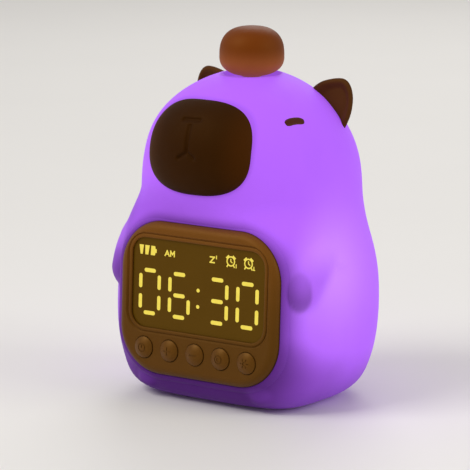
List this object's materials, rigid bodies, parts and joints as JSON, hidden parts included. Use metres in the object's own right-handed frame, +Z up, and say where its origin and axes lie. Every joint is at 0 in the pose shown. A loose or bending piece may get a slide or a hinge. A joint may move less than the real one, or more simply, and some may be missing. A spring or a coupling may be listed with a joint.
{
  "type": "kids alarm clock with night light",
  "caption": "Table alarm clock in a glowing soft animal-shaped lamp body, with a digital display and a row of round buttons in its belly and a press knob on its head.",
  "frame": {"origin": "middle of the footprint, on the table under the soft body", "axes": "+Z up, the clock face looks towards -Y, +X to the right of someone looking at the face"},
  "size_m": [0.1162, 0.1001, 0.166],
  "materials": {
    "skin_silicone": "soft milky silicone lit purple from inside",
    "dark_silicone": "matt dark brown silicone",
    "eye_plastic": "matt",
    "orange_silicone": "matt orange-brown silicone",
    "white_plastic": "matt moulded",
    "base_plastic": "matt moulded",
    "foot_rubber": "matt",
    "screw_steel": "zinc plated",
    "bezel_plastic": "satin",
    "window_plastic": "smooth tinted",
    "lit_display": "lit yellow",
    "circuit_board": "solder mask",
    "lamp_body": "milky lamp resin",
    "black_plastic": "matt",
    "button_plastic": "satin",
    "milky_plastic": "light-spreading milky",
    "light_board_white": "white solder mask",
    "cell_wrap": "shrink wrap",
    "socket_steel": "formed sheet",
    "red_lead": "cable jacket",
    "black_lead": "cable jacket",
    "white_lead": "cable jacket"
  },
  "bodies": {
    "clock": {"silicone_skin": "skin_silicone", "muzzle_cover": "dark_silicone", "eye_left": "eye_plastic", "eye_right": "eye_plastic", "ear_left": "dark_silicone", "ear_right": "dark_silicone", "base_plate": "base_plastic", "rubber_feet": "foot_rubber", "base_screws": "screw_steel", "inner_frame": "white_plastic", "module_screws": "screw_steel", "clock_housing": "bezel_plastic", "display_face": "window_plastic", "lit_segments": "lit_display", "unlit_segments": "window_plastic", "status_icons": "lit_display", "light_block": "white_plastic", "clock_board": "circuit_board", "clock_board_screws": "screw_steel", "display_leds": "lamp_body", "tact_switches": "black_plastic", "clock_back_cover": "white_plastic", "cover_screws": "screw_steel", "light_core": "milky_plastic", "head_support": "white_plastic", "light_board": "light_board_white", "rgb_leds": "lamp_body", "switch_board": "circuit_board", "light_switch": "black_plastic", "battery": "cell_wrap", "power_board": "circuit_board", "board_screws": "screw_steel", "usb_socket": "socket_steel", "power_switch": "black_plastic", "speaker": "black_plastic", "battery_lead": "red_lead", "speaker_lead": "black_lead", "clock_lead": "white_lead", "light_lead": "white_lead"},
    "orange": {"orange_cap": "orange_silicone", "orange_stem": "white_plastic"},
    "button_1_body": {"button_1": "button_plastic"},
    "button_2_body": {"button_2": "button_plastic"},
    "button_3_body": {"button_3": "button_plastic"},
    "button_4_body": {"button_4": "button_plastic"},
    "button_5_body": {"button_5": "button_plastic"},
    "power_knob": {"power_switch_knob": "black_plastic"}
  },
  "joints": [
    {"name": "orange_press", "type": "slide", "parent": "clock", "child": "orange", "axis": [0, 0, -1], "range_m": [0, 0.0012], "stiffness_N_per_m": 1500, "springref_m": -0.0008},
    {"name": "button_1_press", "type": "slide", "parent": "clock", "child": "button_1_body", "axis": [0, 0.9988, -0.048], "range_m": [0, 0.0008], "stiffness_N_per_m": 1500, "springref_m": -0.0004},
    {"name": "button_2_press", "type": "slide", "parent": "clock", "child": "button_2_body", "axis": [0, 0.9988, -0.048], "range_m": [0, 0.0008], "stiffness_N_per_m": 1500, "springref_m": -0.0004},
    {"name": "button_3_press", "type": "slide", "parent": "clock", "child": "button_3_body", "axis": [0, 0.9988, -0.048], "range_m": [0, 0.0008], "stiffness_N_per_m": 1500, "springref_m": -0.0004},
    {"name": "button_4_press", "type": "slide", "parent": "clock", "child": "button_4_body", "axis": [0, 0.9988, -0.048], "range_m": [0, 0.0008], "stiffness_N_per_m": 1500, "springref_m": -0.0004},
    {"name": "button_5_press", "type": "slide", "parent": "clock", "child": "button_5_body", "axis": [0, 0.9988, -0.048], "range_m": [0, 0.0008], "stiffness_N_per_m": 1500, "springref_m": -0.0004},
    {"name": "power_knob_slide", "type": "slide", "parent": "clock", "child": "power_knob", "axis": [1, 0, 0], "range_m": [0, 0.0032]}
  ]
}
